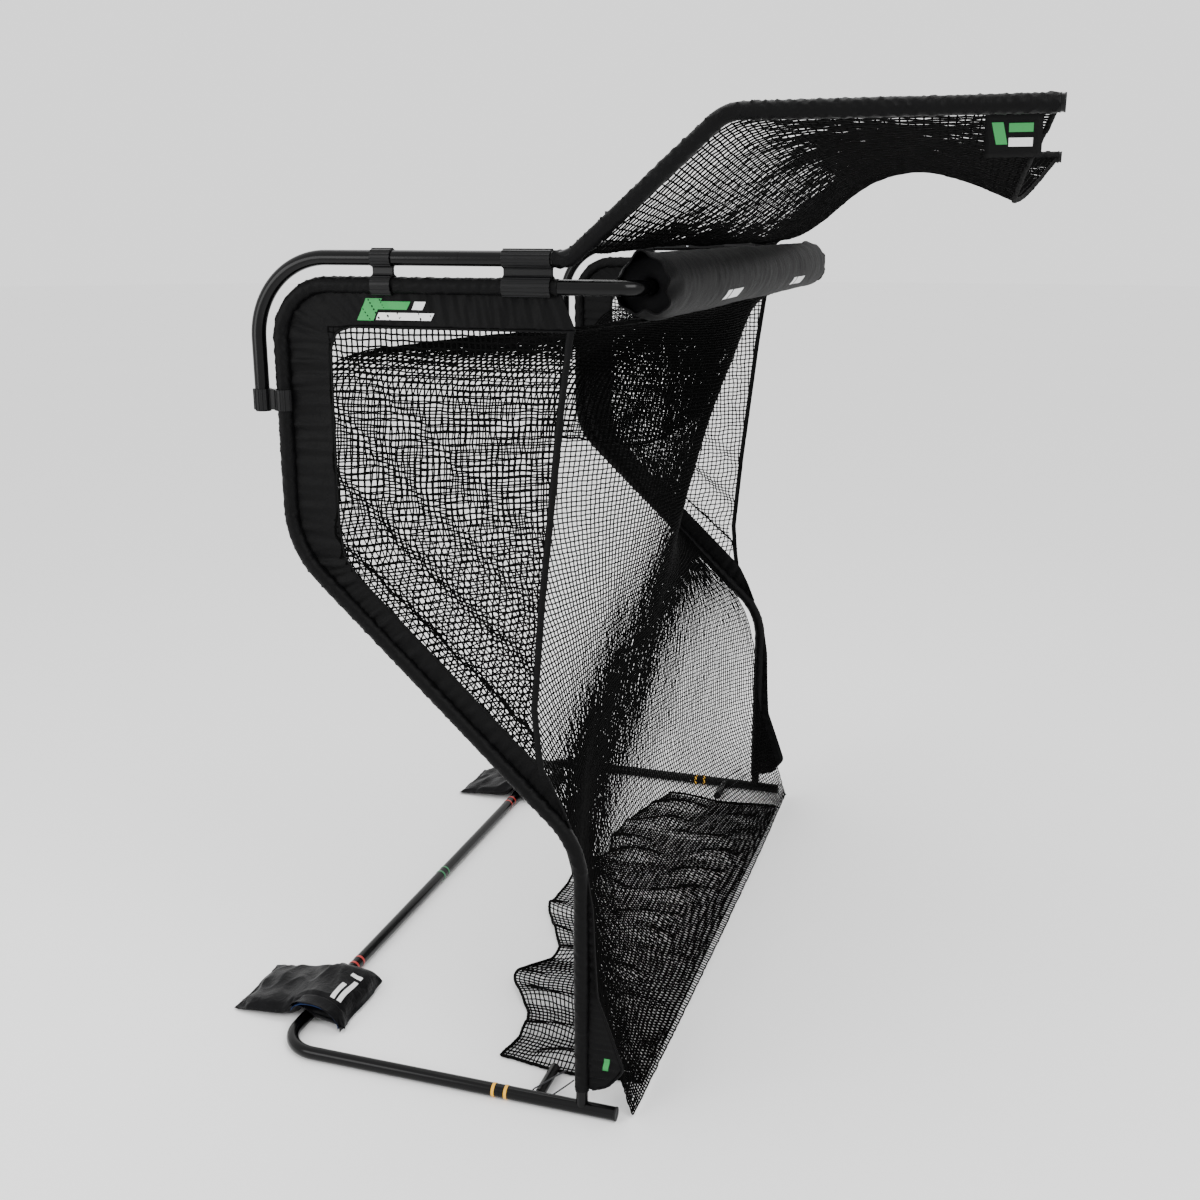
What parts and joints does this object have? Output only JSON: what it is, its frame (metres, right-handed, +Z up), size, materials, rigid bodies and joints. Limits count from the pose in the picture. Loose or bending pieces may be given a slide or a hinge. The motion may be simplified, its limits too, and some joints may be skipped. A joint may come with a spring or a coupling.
{
  "type": "free-standing ball return net",
  "caption": "Free-standing return net on a black tube frame: side nets, sloping main net with a floor tail, padded crossbar, raised overhead net and sandbags over the rear bar.",
  "frame": {"origin": "on the floor, midway between the feet of the two front uprights", "axes": "+X is the player's right, +Y goes away from the player and +Z is up"},
  "size_m": [2.4596, 2.2885, 2.6789],
  "materials": {
    "black_tube": "gloss powder coat",
    "clip_plastic": "gloss",
    "cap_plastic": "matte",
    "sleeve_fabric": "woven nylon, slight sheen",
    "net_cord": "knotless cord, matte",
    "bag_fabric": "woven nylon, slight sheen",
    "elastic_cord": "braided",
    "pad_foam": "matte",
    "yellow_tape": "gloss",
    "red_tape": "gloss",
    "green_tape": "gloss",
    "button_steel": "satin"
  },
  "bodies": {
    "frame": {"base_corner_tube_left": "black_tube", "base_corner_tube_right": "black_tube", "base_end_cap_left": "cap_plastic", "base_end_cap_right": "cap_plastic", "base_rear_tube_left": "black_tube", "base_rear_tube_right": "black_tube", "base_side_tube_left": "black_tube", "base_side_tube_right": "black_tube", "clip_front_left": "clip_plastic", "clip_front_right": "clip_plastic", "clip_middle_left": "clip_plastic", "clip_middle_right": "clip_plastic", "clip_rear_left": "clip_plastic", "clip_rear_right": "clip_plastic", "crossbar_pad_cover": "sleeve_fabric", "crossbar_pad_foam": "pad_foam", "elastic_loop_left": "elastic_cord", "elastic_loop_right": "elastic_cord", "hook_pin_plugs": "cap_plastic", "joint_bands_green": "green_tape", "joint_bands_red": "red_tape", "joint_bands_yellow": "yellow_tape", "lower_upright_left": "black_tube", "lower_upright_right": "black_tube", "main_net": "net_cord", "roof_end_cap_left": "cap_plastic", "roof_end_cap_right": "cap_plastic", "roof_foot_cap_left": "cap_plastic", "roof_foot_cap_right": "cap_plastic", "roof_front_tube_left": "black_tube", "roof_front_tube_right": "black_tube", "roof_net": "net_cord", "roof_rear_tube_left": "black_tube", "roof_rear_tube_right": "black_tube", "roof_sleeve_left": "sleeve_fabric", "roof_sleeve_right": "sleeve_fabric", "side_border_left": "sleeve_fabric", "side_border_right": "sleeve_fabric", "side_net_binding_left": "sleeve_fabric", "side_net_binding_right": "sleeve_fabric", "side_net_left": "net_cord", "side_net_right": "net_cord", "tail_net": "net_cord", "top_corner_tube_left": "black_tube", "top_corner_tube_right": "black_tube", "top_crossbar_tube": "black_tube", "upper_net_layer": "net_cord", "upper_upright_left": "black_tube", "upper_upright_right": "black_tube"},
    "button_base_side_left": {"button_base_side_left": "button_steel"},
    "button_base_side_right": {"button_base_side_right": "button_steel"},
    "button_roof_left": {"button_roof_left": "button_steel"},
    "button_roof_right": {"button_roof_right": "button_steel"},
    "button_rear_left": {"button_rear_left": "button_steel"},
    "button_rear_right": {"button_rear_right": "button_steel"},
    "button_rear_middle": {"button_rear_middle": "button_steel"},
    "sandbag_left": {"sandbag_left": "bag_fabric"},
    "sandbag_right": {"sandbag_right": "bag_fabric"}
  },
  "joints": [
    {"name": "button_base_side_left_press", "type": "slide", "parent": "frame", "child": "button_base_side_left", "axis": [-1, 0, 0], "range_m": [0, 0.004], "stiffness_N_per_m": 2000},
    {"name": "button_base_side_right_press", "type": "slide", "parent": "frame", "child": "button_base_side_right", "axis": [1, 0, 0], "range_m": [0, 0.004], "stiffness_N_per_m": 2000},
    {"name": "button_roof_left_press", "type": "slide", "parent": "frame", "child": "button_roof_left", "axis": [-1, 0, 0], "range_m": [0, 0.004], "stiffness_N_per_m": 2000},
    {"name": "button_roof_right_press", "type": "slide", "parent": "frame", "child": "button_roof_right", "axis": [1, 0, 0], "range_m": [0, 0.004], "stiffness_N_per_m": 2000},
    {"name": "button_rear_left_press", "type": "slide", "parent": "frame", "child": "button_rear_left", "axis": [0, -1, 0], "range_m": [0, 0.004], "stiffness_N_per_m": 2000},
    {"name": "button_rear_right_press", "type": "slide", "parent": "frame", "child": "button_rear_right", "axis": [0, -1, 0], "range_m": [0, 0.004], "stiffness_N_per_m": 2000},
    {"name": "button_rear_middle_press", "type": "slide", "parent": "frame", "child": "button_rear_middle", "axis": [0, -1, 0], "range_m": [0, 0.004], "stiffness_N_per_m": 2000},
    {"name": "sandbag_left_lift", "type": "slide", "parent": "frame", "child": "sandbag_left", "axis": [0, 0, 1], "range_m": [0, 0.3]},
    {"name": "sandbag_right_lift", "type": "slide", "parent": "frame", "child": "sandbag_right", "axis": [0, 0, 1], "range_m": [0, 0.3]}
  ]
}
